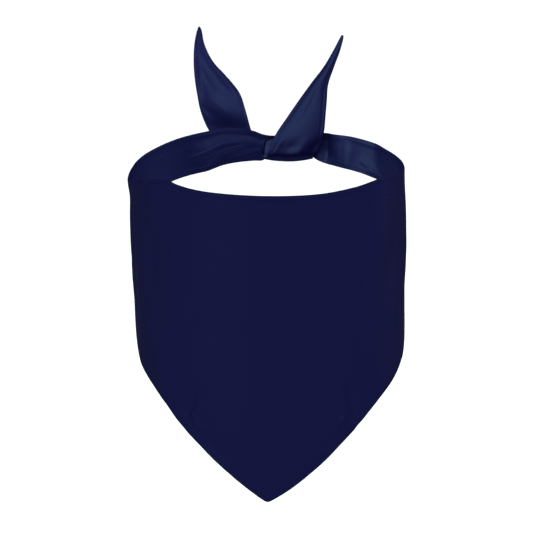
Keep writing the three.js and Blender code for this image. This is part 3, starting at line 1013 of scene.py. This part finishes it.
class BANDANA_OT_stitches(bpy.types.Operator):
    """Make the lockstitches along the neck edge and the two lower hems"""

    bl_idname = "mesh.bandana_stitches"
    bl_label = "Stitches"

    def execute(self, context):
        sizes = context.scene.bandana_stitches
        cloth = context.scene.bandana_cloth
        strip = draped_strip()
        material = thread(sizes.colour)
        middle = np.searchsorted(strip.way, 0)
        runs = {
            "neck_edge_stitches": (0, 0, len(strip.way) - 1),
            "right_hem_stitches": (1, 0, middle),
            "left_hem_stitches": (1, middle, len(strip.way) - 1),
        }
        layers = (cloth.thickness / 2, cloth.thickness / 2 + cloth.hem_layers)
        for name, (edge, first, last) in runs.items():
            lines = self.lines(strip, edge, first, last, sizes.inset / MM, [d / MM for d in layers])
            points, faces = [], []
            for line, normal in lines:
                self.sew(line, normal, sizes, points, faces)
            stitches = make_mesh(name, np.array(points), faces, [material])
            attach(stitches, "root")
        return {"FINISHED"}

    def lines(self, strip, edge, first, last, inset, layers):
        """The stitch line on the right side and on the hem behind it, with the way that each faces."""
        columns = strip.points.shape[1]
        inwards = -1 if edge else 1
        order = np.arange(columns)[::inwards]
        spots, facing = [], []
        for i in range(first, last + 1):
            place = np.interp(inset, strip.hems[edge, i, ::inwards], order)
            low = int(place)
            share = place - low
            high = min(low + 1, columns - 1)
            spots.append(strip.points[i, low] * (1 - share) + strip.points[i, high] * share)
            facing.append(strip.normals[i, low] * (1 - share) + strip.normals[i, high] * share)
        spots, facing = np.array(spots), unit(np.array(facing))
        return [(spots + facing * layers[0], facing), (spots - facing * layers[1], -facing)]

    def sew(self, line, normal, sizes, points, faces):
        """Adds the stitches along a line: short threads that rise out of the cloth and dive back into it."""
        way = np.append(0, np.cumsum(np.linalg.norm(np.diff(line, axis=0), axis=1)))
        radius = sizes.thread / MM / 2
        stitch, pitch = sizes.stitch / MM, sizes.pitch / MM
        lifts, radii = STITCH_LIFTS * radius, STITCH_RADII * radius
        spins = np.radians(np.arange(STITCH_SIDES) * 360 / STITCH_SIDES)
        for start in np.arange(pitch, way[-1] - 2 * pitch, pitch):
            places = start + stitch * STITCH_PLACES
            middle = np.stack([np.interp(places, way, line[:, k]) for k in range(3)], -1)
            up = unit(np.stack([np.interp(places, way, normal[:, k]) for k in range(3)], -1))
            ahead = unit(np.gradient(middle, axis=0))
            aside = unit(np.cross(ahead, up))
            middle = middle + up * lifts[:, None]
            base = len(points)
            for i in range(len(places)):
                for spin in spins:
                    out = aside[i] * math.cos(spin) + up[i] * math.sin(spin)
                    points.append(middle[i] + out * radii[i])
            for i in range(len(places) - 1):
                low, high = base + i * STITCH_SIDES, base + (i + 1) * STITCH_SIDES
                for j in range(STITCH_SIDES):
                    k = (j + 1) % STITCH_SIDES
                    faces.append((low + j, high + j, high + k, low + k))
            last = base + (len(places) - 1) * STITCH_SIDES
            faces.append(tuple(base + j for j in range(STITCH_SIDES)))
            faces.append(tuple(last + j for j in reversed(range(STITCH_SIDES))))


class BANDANA_OT_studio(bpy.types.Operator):
    """Set up the floor, the soft lights and the camera"""

    bl_idname = "scene.bandana_studio"
    bl_label = "Studio"

    def execute(self, context):
        sizes = context.scene.bandana_studio
        self.floor(CAD_BOX[0].z - sizes.floor_drop, sizes.floor_colour)
        self.camera(sizes)
        for name, box in SOFTBOXES.items():
            self.softbox(name, *box)
        self.sky()
        context.scene.view_settings.view_transform = "Standard"
        return {"FINISHED"}

    def floor(self, height, colour):
        """A square floor at a height in metres."""
        low, high = -FLOOR_REACH, FLOOR_REACH
        corners = [(low, low, height), (high, low, height), (high, high, height), (low, high, height)]
        floor = make_mesh("studio_floor", np.array(corners) / MM, [(0, 1, 2, 3)], [matt_paint(colour)])
        floor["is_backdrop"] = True

    def camera(self, sizes):
        """The camera looks down at the middle of the drape from straight in front."""
        data = bpy.data.cameras.new("camera")
        data.lens = sizes.lens
        data.sensor_width = SENSOR_WIDTH
        camera = bpy.data.objects.new("camera", data)
        bpy.context.collection.objects.link(camera)
        target = Vector(CAMERA_TARGET) * MM
        back = Vector((0, -math.cos(sizes.elevation), math.sin(sizes.elevation)))
        camera.location = target + back * sizes.distance
        camera.rotation_euler = (-back).to_track_quat("-Z", "Y").to_euler()
        bpy.context.scene.camera = camera

    def softbox(self, name, azimuth, elevation, size, power, colour):
        """A square soft light that faces the knot."""
        data = bpy.data.lights.new(name, "AREA")
        data.shape = "SQUARE"
        data.size = size
        data.energy = power
        data.color = colour
        light = bpy.data.objects.new(name, data)
        bpy.context.collection.objects.link(light)
        turn, rise = math.radians(azimuth), math.radians(elevation)
        back = Vector((math.sin(turn) * math.cos(rise), -math.cos(turn) * math.cos(rise), math.sin(rise)))
        light.location = Vector((0, CAD_BOX[1].y, 0)) + back * SOFTBOX_DISTANCE
        light.rotation_euler = back.to_track_quat("Z", "Y").to_euler()

    def sky(self):
        """An even white room."""
        world = bpy.data.worlds.new("white_room")
        world.use_nodes = True
        background = world.node_tree.nodes["Background"]
        background.inputs["Color"].default_value = (1, 1, 1, 1)
        background.inputs["Strength"].default_value = ROOM_BRIGHTNESS
        bpy.context.scene.world = world


class BANDANA_PT_panel(bpy.types.Panel):
    """Lists the bandana's pieces and their sizes"""

    bl_idname = "BANDANA_PT_panel"
    bl_label = "Dog Bandana"
    bl_space_type = "VIEW_3D"
    bl_region_type = "UI"
    bl_category = "Bandana"

    def draw(self, context):
        for operator, group in SECTIONS:
            box = self.layout.box()
            box.operator(operator.bl_idname)
            settings = getattr(context.scene, group)
            for name in settings.__annotations__:
                box.prop(settings, name)


SECTIONS = [
    (BANDANA_OT_cloth, "bandana_cloth"),
    (BANDANA_OT_stitches, "bandana_stitches"),
    (BANDANA_OT_studio, "bandana_studio"),
]
GROUPS = {
    "bandana_cloth": BandanaCloth,
    "bandana_stitches": BandanaStitches,
    "bandana_studio": BandanaStudio,
}
CLASSES = [*GROUPS.values(), *(operator for operator, _ in SECTIONS), BANDANA_PT_panel]


def register():
    for cls in CLASSES:
        bpy.utils.register_class(cls)
    for name, group in GROUPS.items():
        setattr(bpy.types.Scene, name, PointerProperty(type=group))


def unregister():
    for name in GROUPS:
        delattr(bpy.types.Scene, name)
    for cls in reversed(CLASSES):
        bpy.utils.unregister_class(cls)


def main():
    register()
    bpy.ops.mesh.bandana_cloth()
    bpy.ops.mesh.bandana_stitches()
    bpy.ops.scene.bandana_studio()
    boxes = {name: [list(corner) for corner in box] for name, box in (("cad", CAD_BOX), ("visual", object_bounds()))}


if __name__ == "__main__":
    main()
